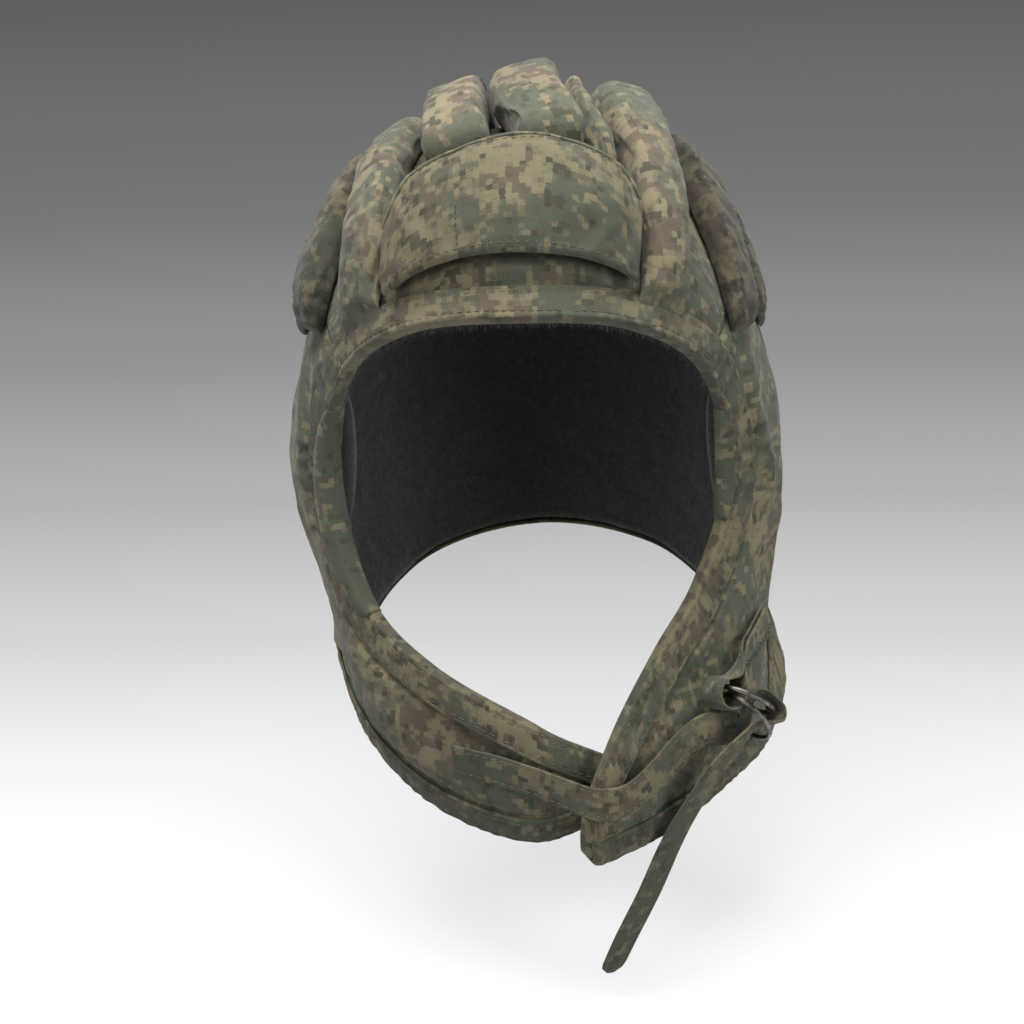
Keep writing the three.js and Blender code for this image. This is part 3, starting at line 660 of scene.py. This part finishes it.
# Flap ends: at its front end each flap's cloth is turned over the padding and the fleece and closed.
flap_end_profile = np.array([  # distance from the tip and lift, in mm, from outside to inside
    (7, 0.25), (3, 0.3), (0.9, 0.1), (-0.3, -0.8), (-0.7, -2.6), (-0.7, -5), (-0.3, -6.8), (0.9, -7.6),
    (3, -7.7), (6, -7.6)])


def lay_flap_end(side, s, t):
    """Lays the closed end of the right flap (-1) or of the left one (1)."""
    inwards, lift = spline(flap_end_profile, s * (len(flap_end_profile) - 1)).T * mm
    tip = side * (flap_tip - 0.012)
    row = row_between(tip, t)
    _, along_column, _, normal = hood_frame(tip, row)
    column = tip - side * inwards / norm(along_column, axis=1)
    points = lifted(column, row, lift)
    return points, round_side(points) + np.stack([inwards * 0.3, lift * 0], axis=1)


for name, side, shift in (("right_flap_end", -1, 11.0), ("left_flap_end", 1, 23.0)):
    made = cloth_grid(name, 26, 60, lay_flap_end, side)
    thicken(made, 0.5 * mm, 0)
    dress(made, camouflage(name, shift), "camouflage_cloth")


# Crown rolls: five stuffed tubes of the same cloth sewn side by side over the crown, from the brow to
# the back of the head. They are packed firmly and wrinkle across their tops.
def settled(made):
    """Applies the modifiers of an object and gives its points."""
    shown = made.evaluated_get(bpy.context.evaluated_depsgraph_get())
    mesh = bpy.data.meshes.new_from_object(shown)
    made.modifiers.clear()
    made.data = mesh
    mesh.shade_smooth()
    return of_points(mesh)


def refined(made, kind="CATMULL_CLARK"):
    """Divides the faces of an object once, and gives its points."""
    finer = made.modifiers.new("finer", "SUBSURF")
    finer.subdivision_type = kind
    finer.levels = finer.render_levels = 1
    return settled(made)


def put_points(mesh, points):
    """Moves the points of a mesh."""
    mesh.vertices.foreach_set("co", points.astype(np.float32).ravel())
    mesh.update()


def raise_points(mesh, height):
    """Moves the points of a mesh out along its normals."""
    put_points(mesh, of_points(mesh) + of_points(mesh, "normal") * height[:, None])


def kept_shares(mesh):
    """The shares across and along a grid of cloth, point by point."""
    read = np.empty((2, len(mesh.vertices)))
    for name, values in zip(("round_share", "run_share"), read):
        mesh.attributes[name].data.foreach_get("value", values)
    return read


roll_foot = 0.9 * mm  # how high its flat foot lies over the panels
foot_share = 0.86  # the width of the foot against the roll's own
top_share = 0.8  # how much of the way round its section is its top; the rest is its foot
stuffing_pressure, swelling_steps = 3.0, 20
rolls = {  # how boxy it is, how far it leans, mm that its front end takes to close, how wide that end
           # stays; and arch column, row, width and height in mm along its path
    "crown_roll_1": {
        "node": "crown_rib_1", "boxy": 3.4, "front_end": 12, "flat": 0.97, "shift": 41.0, "path": (
        (-1.5, 0.22, 27, 0), (-1.42, 0.55, 27, 8), (-1.22, 0.95, 25, 14), (-1.06, 1.5, 21.5, 16),
        (-0.94, 2.2, 21, 15), (-0.94, 3.2, 22, 15), (-0.9, 4.1, 20, 9))},
    "crown_roll_2": {
        "node": "crown_rib_2", "boxy": 5.5, "lean": 0.04, "value": 1.24, "shift": 53.0, "path": (
        (-0.42, 1.3, 25, 19), (-0.44, 2.0, 23.5, 20.5), (-0.47, 2.8, 21.5, 18.5), (-0.48, 4.2, 18, 9))},
    "crown_roll_3": {
        "node": "crown_rib_3", "boxy": 5.5, "lean": 0.12, "shift": 67.0, "path": (
        (0.26, 1.32, 26, 20), (0.04, 2.0, 24, 22.5), (0.0, 2.8, 22.5, 23.5), (0.02, 4.2, 18, 10))},
    "crown_roll_4": {
        "node": "crown_rib_4", "boxy": 2.4, "shift": 71.0, "path": (
        (0.66, 1.36, 13, 12), (0.38, 2.0, 9, 20.5), (0.33, 2.8, 9, 19.5), (0.36, 4.1, 10, 9))},
    "crown_roll_5": {
        "node": "crown_rib_5", "boxy": 3.2, "front_end": 12, "flat": 0.95, "shift": 83.0, "path": (
        (1.27, 0.22, 26, 0), (1.22, 0.5, 24, 8), (1.14, 0.9, 22, 13), (0.98, 1.4, 22, 17),
        (0.7, 2.1, 24, 22), (0.67, 3.0, 24, 20), (0.78, 4.1, 21, 9))},
}


def lay_roll(roll, s, t):
    """Lays a roll on the hood: shares round its section, its foot last, and along it."""
    path = np.array(roll["path"], float)
    spans = len(path) - 1
    fine = np.linspace(0, spans, 121)
    line = lifted(*spline(path[:, :2], fine).T)
    runs = lengths_along(line)
    run = t * runs[-1]
    at = np.interp(run, runs, fine)
    column, row = spline(path[:, :2], at).T
    width, height = (spline(path[:, 2:], at) * mm).T
    behind, ahead = (hood_surface(*spline(path[:, :2], (at + step).clip(0, spans)).T)
                     for step in (-0.01, 0.01))
    _, along_column, along_row, normal = hood_frame(column, row)
    across = unit(np.cross(ahead - behind, normal))
    front = limited(run / (roll.get("front_end", 11) * mm))
    rear = limited((runs[-1] - run) / (11 * mm))
    closing = np.sqrt(1 - (1 - front) ** 2) * np.sqrt(1 - (1 - rear) ** 2)
    angle = limited(s / top_share) * pi
    a = np.sign(np.cos(angle)) * abs(np.cos(angle)) ** (2 / roll["boxy"])
    b = abs(np.sin(angle)) ** (2 / roll["boxy"])
    a = a * (foot_share + (1 - foot_share) * np.minimum(b * 3, 1))
    under = s > top_share
    a = np.where(under, foot_share * (10 * (s - top_share) - 1), a)
    b = np.where(under, 0, b)
    blunt = np.where(t < 0.5, roll.get("flat", 0.6), 0.6)
    x = a * width / 2 * (blunt + (1 - blunt) * closing)
    cc, cr, rr = (np.sum(u * v, 1) for u, v in (
        (along_column, along_column), (along_column, along_row), (along_row, along_row)))
    c, r = (np.sum(across * way, 1) * x for way in (along_column, along_row))
    det = cc * rr - cr * cr
    lift = roll_foot + b * (1 + roll.get("lean", 0) * a) * height * (0.15 + 0.85 * closing)
    points = lifted(column + (c * rr - r * cr) / det, row + (r * cc - c * cr) / det, lift)
    return points, None


def swell(made, held, cap, slack=0.0):
    """Lets the stuffing swell a closed cloth between the points where it is sewn down."""
    start = of_points(made.data)
    sewn = made.vertex_groups.new(name="sewn")
    sewn.add([int(i) for i in np.flatnonzero(held)], 1.0, "REPLACE")
    cloth = made.modifiers.new("stuffing", "CLOTH")
    cloth.settings.use_pressure = True
    cloth.settings.uniform_pressure_force = stuffing_pressure
    cloth.settings.effector_weights.gravity = 0
    cloth.settings.vertex_group_mass = "sewn"
    cloth.settings.shrink_min = -slack
    cloth.settings.quality = 3
    cloth.point_cache.frame_end = swelling_steps
    for step in range(swelling_steps):
        scene.frame_set(step + 1)
    swollen = settled(made)
    scene.frame_set(1)
    made.vertex_groups.clear()
    move = swollen - start
    far = norm(move, axis=1, keepdims=True)
    put_points(made.data, start + move * np.minimum(1, cap / np.maximum(far, 1e-9)))


def stuffed_roll(name, roll, number, wrinkle):
    """A roll laid along its path, swollen between its seams, smoothed and wrinkled."""
    made = cloth_grid(name, 46, 58, lay_roll, roll, closed=True)
    s, t = kept_shares(made.data)
    swell(made, (s > top_share - 0.01) | (s < 0.01) | (t < 0.02) | (t > 0.98), 1.3 * mm, 0.03)
    points = refined(made)
    s, t = kept_shares(made.data)
    top = limited(np.sin(limited(s / top_share) * pi)) ** 0.5
    ripples = crumple(points * wrinkle, 0.009, 20 + number) * top * (0.4 + 0.6 * np.sin(t * pi))
    lumps = crumple(points, 0.026, 30 + number) * top
    raise_points(made.data, (0.55 * ripples + 0.4 * lumps) * mm)
    # The value is partly painted light and shade: the crown rolls are made lighter, partly as worn
    # cloth and partly as painted light on their tops, and the side rolls much darker as painted shade.
    dress(made, camouflage(name, roll["shift"], warmth=1.0, value=roll.get("value", 1.14), green=0.0),
          "camouflage_cloth", roll["node"])


for number, (name, roll) in enumerate(rolls.items()):
    stuffed_roll(name, roll, number, (0.3, 1, 1))


# Side rolls: two shorter stuffed rolls on each side, which run down across the temple behind the outer
# crown rolls. They are topstitched along the middle, and those on the left are stuffed less. Their
# cloth is painted darker as shade, those on the left darkest.
side_rolls = {
    "front_side_roll_left": {"node": "side_roll_left", "path": (
        (1.02, 2.55, 24, 14), (1.25, 2.22, 25, 12.5), (1.52, 1.86, 25, 10.5), (1.82, 1.5, 24, 8),
        (2.12, 1.12, 20, 7))},
    "front_side_roll_right": {"node": "side_roll_right", "path": (
        (-1.1, 2.35, 24, 14), (-1.3, 2.1, 25, 14), (-1.55, 1.82, 25, 12.5), (-1.82, 1.48, 24, 12),
        (-2.08, 1.16, 20, 8.5))},
    "rear_side_roll_left": {"node": "rear_roll_left", "path": (
        (1.2, 3.2, 24, 12), (1.6, 2.95, 24, 10.4), (1.95, 2.65, 22, 7.2), (2.28, 2.35, 19, 4))},
    "rear_side_roll_right": {"node": "rear_roll_right", "path": (
        (-1.2, 3.2, 24, 15), (-1.6, 2.95, 24, 13), (-1.95, 2.65, 22, 9), (-2.28, 2.35, 19, 5))},
}
for number, (name, roll) in enumerate(side_rolls.items()):
    # Painted shade: the side rolls' value darkens their cloth, 0.45 on the left and 0.65 on the right.
    roll.update({"boxy": 3.6, "shift": 97.0 + 7 * number,
                 "value": 0.45 if name.endswith("left") else 0.65})
    stuffed_roll(name, roll, 10 + number, (1, 1, 1))


# Ear pads: lens-shaped pads covered in the fleece, inside the hood over the ears. They are the solids'
# shapes, drawn in a little and swollen again by their stuffing.
def copied(node, name, shrink):
    """A merged copy of a CAD node in a new object, a little smaller all round."""
    bm = merged(nodes[node].data)
    bm.normal_update()
    for vertex in bm.verts:
        vertex.co -= vertex.normal * shrink
    return piece_from(name, bm)


for name, node in (("ear_cushion_left", "ear_pad_left"), ("ear_cushion_right", "ear_pad_right")):
    made = copied(node, name, 0.3 * mm)
    bm = bmesh.new()
    bm.from_mesh(made.data)
    bmesh.ops.join_triangles(bm, faces=bm.faces, angle_face_threshold=pi,
                             angle_shape_threshold=pi)
    bm.to_mesh(made.data)
    bm.free()
    refined(made, "SIMPLE")
    points = refined(made)
    swell(made, np.zeros(len(points)), 1 * mm)
    refined(made)
    dress(made, fleece(name, (72, 72, 69)), "fleece", node)


# Forehead pad: an arched cushion of the same cloth over the front ends of the crown rolls, with a piped
# upper edge and a stitched hem along its lower edge.
pad_low = np.array([  # arch column, row and height in mm of its lower edge, from right to left
    (-1.08, 0.3, 7), (-0.8, 0.36, 10), (-0.4, 0.42, 11), (0, 0.44, 11), (0.4, 0.42, 11),
    (0.74, 0.36, 10), (0.94, 0.3, 7)])
pad_high = np.array([  # and of its upper edge
    (-0.94, 0.77, 14), (-0.69, 0.99, 19.5), (-0.36, 1.12, 21), (0, 1.22, 21), (0.36, 1.16, 21),
    (0.63, 1.07, 19.5), (0.85, 0.92, 14)])
pad_profile = np.array([  # share from the lower to the upper edge, and of the height, round its section
    (0.5, 0), (0.3, 0), (0.17, 0), (0.13, 0.25), (0.07, 0.5), (0.01, 0.72), (-0.01, 0.86), (0.03, 0.98),
    (0.12, 0.96), (0.3, 1.02), (0.5, 1.04), (0.7, 1.04), (0.86, 1.02), (0.95, 1.0), (0.985, 0.99),
    (1.0, 0.93), (1.005, 0.7), (1.0, 0.35), (0.98, 0), (0.8, 0), (0.5, 0)])


def lay_pad(s, t):
    """Lays the forehead pad: shares round its section and along it."""
    share, rise = spline(pad_profile, s * (len(pad_profile) - 1)).T
    low, high = spline(pad_low, t * (len(pad_low) - 1)), spline(pad_high, t * (len(pad_high) - 1))
    place = low + (high - low) * share[:, None]
    tall = low[:, 2] + (high[:, 2] - low[:, 2]) * limited(share) ** 0.7
    return lifted(place[:, 0], place[:, 1], roll_foot + rise * tall * mm), None


brow_pad = cloth_grid("brow_pad", 60, 70, lay_pad, closed=True)
s, t = kept_shares(brow_pad.data)
face = (s > 0.36) & (s < 0.68) & (t > 0.02) & (t < 0.98)
swell(brow_pad, ~face, 1.2 * mm, 0.02)
points = refined(brow_pad)
lumps = 0.3 * crumple(points, 0.03, 60) + 0.14 * crumple(points, 0.009, 61)
raise_points(brow_pad.data, lumps * mm)
# The pad's cloth is made darker than the rolls', partly its own tone and partly painted shade on its
# forward face.
dress(brow_pad, camouflage("brow_pad", 5.9, warmth=0.3, value=0.88, green=-0.01), "camouflage_cloth",
      "forehead_pad")

# Chin strap and ring tab: bands of doubled cloth, stitched along both edges. The strap is sewn to the
# right flap and threaded through the two rings; the tab is sewn to the left flap and holds the rings.
strap_width, strap_thickness = 14 * mm, 1.6 * mm


def strap_sections(node, start):
    """Middle, way across, downwards at first, and way out of a strap's sections, from near a place."""
    bm = merged(nodes[node].data)
    bm.normal_update()
    bm.verts.index_update()
    area = strap_width * strap_thickness
    ends = [e for e in bm.edges if len(e.link_faces) == 2
            and abs(sum(f.calc_area() for f in e.link_faces) / area - 1) < 0.03
            and e.link_faces[0].normal.dot(e.link_faces[1].normal) > 0.9999
            and abs(e.calc_length() / hypot(strap_width, strap_thickness) - 1) < 0.01]
    end = min(ends, key=lambda e: (e.verts[0].co - Vector(start)).length)
    ring = {v for f in end.link_faces for v in f.verts}
    corners, seen = [], set()
    while ring:
        corners.append([np.array(v.co) for v in sorted(ring, key=lambda v: v.index)])
        seen |= ring
        ring = {e.other_vert(v) for v in ring for e in v.link_edges} - seen
    bm.free()
    middles = np.array([np.mean(c, axis=0) for c in corners])
    across = []
    for c in corners:
        pairs = [a - b for i, a in enumerate(c) for b in c[:i]]
        long = min(pairs, key=lambda p: abs(norm(p) - strap_width))
        across.append(long if long @ (across[-1] if across else (0, 0, -1)) > 0 else -long)
    across = unit(np.array(across))
    return middles, across, unit(np.cross(unit(np.gradient(middles, axis=0)), across))


def lay_strap(sections, rounded, s, t):
    """Lays cloth round a strap's sections, with sunken rows of stitches and its end rounded."""
    lengths = lengths_along(sections[0])
    along = t * (len(lengths) - 1)
    centre, side, face = (spline(part, along) for part in sections)
    angle = s * 2 * pi
    a = np.sign(np.cos(angle)) * abs(np.cos(angle)) ** 0.45
    b = np.sign(np.sin(angle)) * abs(np.sin(angle)) ** 0.6
    run = np.interp(along, range(len(lengths)), lengths)
    half = strap_width / 2 - 0.1 * mm
    if rounded:
        near_end = limited(1 - (lengths[-1] - run) / rounded)
        half -= rounded * (1 - np.sqrt(1 - 0.98 * near_end ** 2))
    thick = b * (1 - 0.28 * hump(abs(a), 0.74, 0.09)) * 0.46 * strap_thickness
    place = centre + unit(side) * (a * half)[:, None] + unit(face) * thick[:, None]
    return place, np.stack([a * half + (b < 0) * 0.03, run], axis=1)


strap_lines = strap_sections("chin_strap", (-0.033, -0.085, -0.229))
tab_lines = strap_sections("ring_tab", (0.094, -0.028, -0.193))
for node, lines, rounded, cotton, shift, value in (
        ("chin_strap", strap_lines, 5 * mm, "strap_cotton", 131.0, 0.94),
        ("ring_tab", tab_lines, 0, "tab_cotton", 139.0, 1.0)):
    made = cloth_grid(node + "_cloth", 40, 4 * len(lines[0]), lay_strap, lines, rounded, closed=True)
    dress(made, camouflage(cotton, shift, value=value), "strap_cloth", node)

# Rings of the buckle: two rings of dark steel wire, through which the strap passes.
ring_steel, tree, shader = new_material("dark_ring_steel")
rub = noise(tree, add_node(tree, "TexCoord", out=3), 260.0, 4.0)
set_inputs(shader, {
    "Base Color": ramp(tree, rub, [(0.35, paint(70, 67, 64)), (0.7, paint(128, 124, 120))]),
    "Metallic": 1.0, "Roughness": add_node(tree, "MapRange", rub, 0.3, 0.7, 0.42, 0.26)})
for name, node in (("wire_ring_1", "buckle_ring_1"), ("wire_ring_2", "buckle_ring_2")):
    made = copied(node, name, 0)
    finer = made.modifiers.new("finer", "SUBSURF")
    finer.levels = finer.render_levels = 2
    dress(made, ring_steel, "ring_steel", node)

# Sewing: rows of khaki thread, two along each binding, one each side of the temple seams, along the hem
# of the forehead pad, round the side rolls and along both edges of the straps.
def sewing_thread(name, dark, light):
    """Twisted cotton thread, between a dark and a light colour."""
    material, tree, shader = new_material(name)
    strands = noise(tree, add_node(tree, "TexCoord", out=3), 1500.0)
    set_inputs(shader, {
        "Base Color": ramp(tree, strands, [(0.3, paint(*dark)), (0.7, paint(*light))]),
        "Roughness": 0.7, "Sheen Weight": 0.2})
    return material


thread = sewing_thread("sewing_thread", (70, 68, 56), (112, 107, 88))
dark_thread = sewing_thread("dark_thread", (38, 36, 32), (66, 62, 54))


def surfaces_of(names):
    """Search trees over the finished surfaces of some pieces."""
    graph = bpy.context.evaluated_depsgraph_get()
    return [BVHTree.FromObject(bpy.data.objects[name], graph) for name in names]


def nearest(trees, point):
    """The nearest point and normal on some surfaces."""
    return min((t.find_nearest(point) for t in trees), key=lambda hit: hit[3])


def sew(name, lines, pieces, stitch=2.5 * mm, gap=1.0 * mm, girth=0.24 * mm, yarn=thread):
    """Rows of stitches laid on the surfaces of some pieces."""
    trees = surfaces_of(pieces)
    bm = bmesh.new()
    for line in lines:
        runs = lengths_along(line)
        for start in np.arange(gap, runs[-1] - stitch, stitch + gap):
            ends = []
            for run in (start, start + stitch):
                point = Vector([np.interp(run, runs, line[:, k]) for k in range(3)])
                place, normal, _, _ = nearest(trees, point)
                ends.append(place + normal * girth * 0.45)
            way = ends[1] - ends[0]
            if way.length < 0.2 * stitch:
                continue
            ahead, aside = way.normalized(), normal.cross(way).normalized()
            turn = Matrix((ahead, aside, ahead.cross(aside))).transposed().to_4x4()
            size = Matrix.Diagonal((way.length / 2, girth, girth)).to_4x4()
            bmesh.ops.create_icosphere(bm, subdivisions=1, radius=1, matrix=Matrix.Translation(
                (ends[0] + ends[1]) / 2) @ turn @ size)
    dress(piece_from(name, bm), yarn, "camouflage_cloth")


columns = np.linspace(-6.9, 6.9, 420)
sew("binding_stitches", [
    lifted(columns, row_inside(columns, distance * mm, at_neck), 3 * mm)
    for at_neck in (False, True) for distance in stitch_insets], ["face_binding", "neck_binding"])
rows = np.linspace(0.6, 6.4, 200)
sew("temple_stitches", [
    lifted(side * (seam_column + offset), rows, 1 * mm)
    for side, offset in ((-1, 0.07), (-1, -0.07), (1, -0.07), (1, 0.07))], panels)


def pad_line(share, t):
    """A line over the forehead pad's face, at a share of the way up from its lower edge."""
    low, high = spline(pad_low, t), spline(pad_high, t)
    place = low + (high - low) * share
    return lifted(place[:, 0], place[:, 1], (place[:, 2] + 2) * mm)


sew("pad_stitches", [pad_line(0.065, np.linspace(0.05, 5.95, 80)),
                     pad_line(0.94, np.linspace(0.1, 5.9, 80))], ["brow_pad"])
dart = [pad_line(share, np.array([2.0])) for share in np.linspace(0.08, 0.5, 12)]
sew("pad_dart", [np.concatenate(dart)], ["brow_pad"], 2.2 * mm, 0.2 * mm, yarn=dark_thread)
along = np.linspace(0.06, 0.94, 60)
for name, roll in side_rolls.items():
    sew(name + "_stitches", [lay_roll(roll, np.full(60, share), along)[0] for share in (0.3, 0.5)],
        [name])


def edge_rows(middles, across, out):
    """Lines along both edges of a strap, on both its faces."""
    return [middles + across * side * 5.1 * mm + out * face * 1.2 * mm
            for side in (1, -1) for face in (1, -1)]


sew("strap_stitches", edge_rows(*strap_lines), ["chin_strap_cloth"])
middles, across, out = strap_lines
runs = lengths_along(middles)
ends = [np.stack([np.interp(run, runs, middles[:, k]) for k in range(3)])
        for run in (2 * mm, 12.5 * mm, 14 * mm)]
sew("strap_end_stitches", [
    end + across[0] * np.linspace(-5.6, 5.6, 8)[:, None] * mm + out[0] * 1.2 * mm * face
    for end in ends for face in (1, -1)], ["chin_strap_cloth"], 2.0 * mm, 0.6 * mm, yarn=dark_thread)
sew("tab_stitches", edge_rows(*tab_lines), ["ring_tab_cloth"])
middles, across, out = (spline(part, np.linspace(0, 5.5, 23)) for part in tab_lines)
zigzag = (np.arange(23) % 2 * 2 - 1)[:, None] * 1.7 * mm + 3.0 * mm
for face in (1, -1):
    sew("tab_zigzag_%d" % face, [middles + across * zigzag * face + out * 1.2 * mm * face],
        ["ring_tab_cloth"], 2.0 * mm, 0.25 * mm, 0.3 * mm, dark_thread)

# Piping: a thin cord covered in the cloth, let into the upper edge of the forehead pad.
piping_radius = 0.75 * mm
trees = surfaces_of(["brow_pad"])
curve = bpy.data.curves.new("pad_piping", "CURVE")
curve.dimensions = "3D"
curve.bevel_depth = piping_radius
curve.bevel_resolution = 3
line = pad_line(0.985, np.linspace(0, 6, 90))
run = curve.splines.new("POLY")
run.points.add(len(line) - 1)
for point, place in zip(run.points, line):
    spot, normal, _, _ = nearest(trees, Vector(place))
    point.co = (*(spot + normal * piping_radius * 0.3), 1)
cord = put_in_scene("pad_piping_curve", curve)
mesh = bpy.data.meshes.new_from_object(cord.evaluated_get(bpy.context.evaluated_depsgraph_get()))
bpy.data.objects.remove(cord)
piping = put_in_scene("pad_piping", mesh)
mesh.shade_smooth()
lay_out(mesh, of_points(mesh)[:, :2] * 1.3)
dress(piping, camouflage("pad_piping", 7.0, value=1.12), "camouflage_cloth")

# Loose fibres of the fleece, which stick out below the binding along the brow.
chance = np.random.default_rng(5)
bm = bmesh.new()
for column in chance.uniform(-2.6, 2.6, 1500):
    root = lifted(column, row_inside(column, chance.uniform(1.6, 3.4) * mm), -5.6 * mm)[0]
    way = unit(np.array([chance.normal(0, 0.7), chance.normal(-0.5, 0.5), -1.0]))
    length = chance.uniform(1.2, 4.2) * mm
    turn = Vector(way).to_track_quat("Z", "Y").to_matrix().to_4x4()
    bmesh.ops.create_cone(bm, segments=3, radius1=0.16 * mm, radius2=0.04 * mm, depth=length,
                          matrix=Matrix.Translation(root + way * length / 2) @ turn)
dress(piece_from("brow_fibres", bm), bpy.data.materials["dark_fleece"], "fleece")
